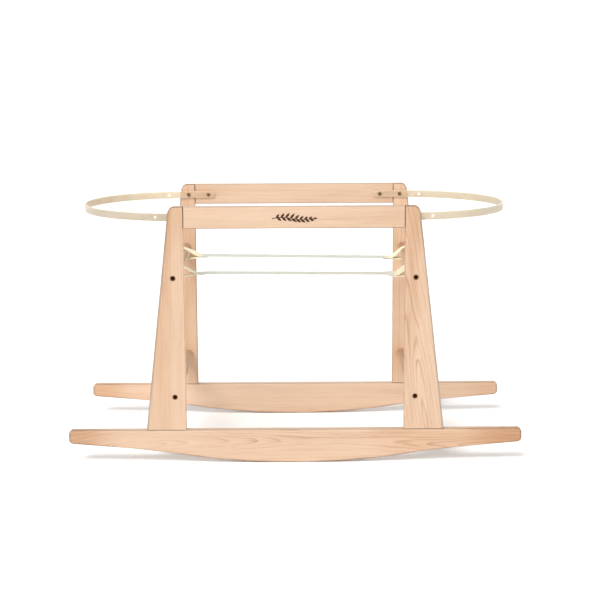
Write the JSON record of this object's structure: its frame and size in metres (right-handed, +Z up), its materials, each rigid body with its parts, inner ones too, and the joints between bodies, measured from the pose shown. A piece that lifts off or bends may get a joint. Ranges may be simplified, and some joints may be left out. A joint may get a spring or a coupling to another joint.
{
  "type": "rocking bassinet stand",
  "caption": "Wooden rocking stand for a baby's basket: two rocker frames tied by crossbars, webbing straps and plastic basket bands.",
  "frame": {"origin": "centre of the bounding box in X and Y, at its bottom, where the rockers meet the floor", "axes": "+X along the rockers and rails, towards the right end; +Y from the front frame to the rear frame; +Z up"},
  "size_m": [0.88, 0.394, 0.502],
  "materials": {
    "beech": "satin clear lacquer on pale beech",
    "dowel_pin": "plain beech pin",
    "cream_plastic": "satin, slightly translucent cream plastic strip",
    "cotton_webbing": "natural herringbone cotton webbing",
    "black_steel": "blackened steel",
    "antique_brass": "antique brass plated steel",
    "zinc_steel": "zinc plated steel"
  },
  "bodies": {
    "root": {"front_basket_strap": "cotton_webbing", "front_left_foot_pin_inner": "dowel_pin", "front_left_foot_pin_outer": "dowel_pin", "front_left_leg": "beech", "front_left_leg_screw": "antique_brass", "front_left_lower_bolt": "black_steel", "front_left_lower_insert": "zinc_steel", "front_left_rail_pin_lower": "dowel_pin", "front_left_rail_pin_upper": "dowel_pin", "front_left_rail_screw": "antique_brass", "front_left_upper_bolt": "black_steel", "front_left_upper_insert": "zinc_steel", "front_right_foot_pin_inner": "dowel_pin", "front_right_foot_pin_outer": "dowel_pin", "front_right_leg": "beech", "front_right_leg_screw": "antique_brass", "front_right_lower_bolt": "black_steel", "front_right_lower_insert": "zinc_steel", "front_right_rail_pin_lower": "dowel_pin", "front_right_rail_pin_upper": "dowel_pin", "front_right_rail_screw": "antique_brass", "front_right_upper_bolt": "black_steel", "front_right_upper_insert": "zinc_steel", "front_rocker": "beech", "front_top_rail": "beech", "left_basket_band": "cream_plastic", "left_lower_crossbar": "beech", "left_upper_crossbar": "beech", "rear_basket_strap": "cotton_webbing", "rear_left_foot_pin_inner": "dowel_pin", "rear_left_foot_pin_outer": "dowel_pin", "rear_left_leg": "beech", "rear_left_leg_screw": "antique_brass", "rear_left_lower_bolt": "black_steel", "rear_left_lower_insert": "zinc_steel", "rear_left_rail_pin_lower": "dowel_pin", "rear_left_rail_pin_upper": "dowel_pin", "rear_left_rail_screw": "antique_brass", "rear_left_upper_bolt": "black_steel", "rear_left_upper_insert": "zinc_steel", "rear_right_foot_pin_inner": "dowel_pin", "rear_right_foot_pin_outer": "dowel_pin", "rear_right_leg": "beech", "rear_right_leg_screw": "antique_brass", "rear_right_lower_bolt": "black_steel", "rear_right_lower_insert": "zinc_steel", "rear_right_rail_pin_lower": "dowel_pin", "rear_right_rail_pin_upper": "dowel_pin", "rear_right_rail_screw": "antique_brass", "rear_right_upper_bolt": "black_steel", "rear_right_upper_insert": "zinc_steel", "rear_rocker": "beech", "rear_top_rail": "beech", "right_basket_band": "cream_plastic", "right_lower_crossbar": "beech", "right_upper_crossbar": "beech"}
  },
  "joints": []
}
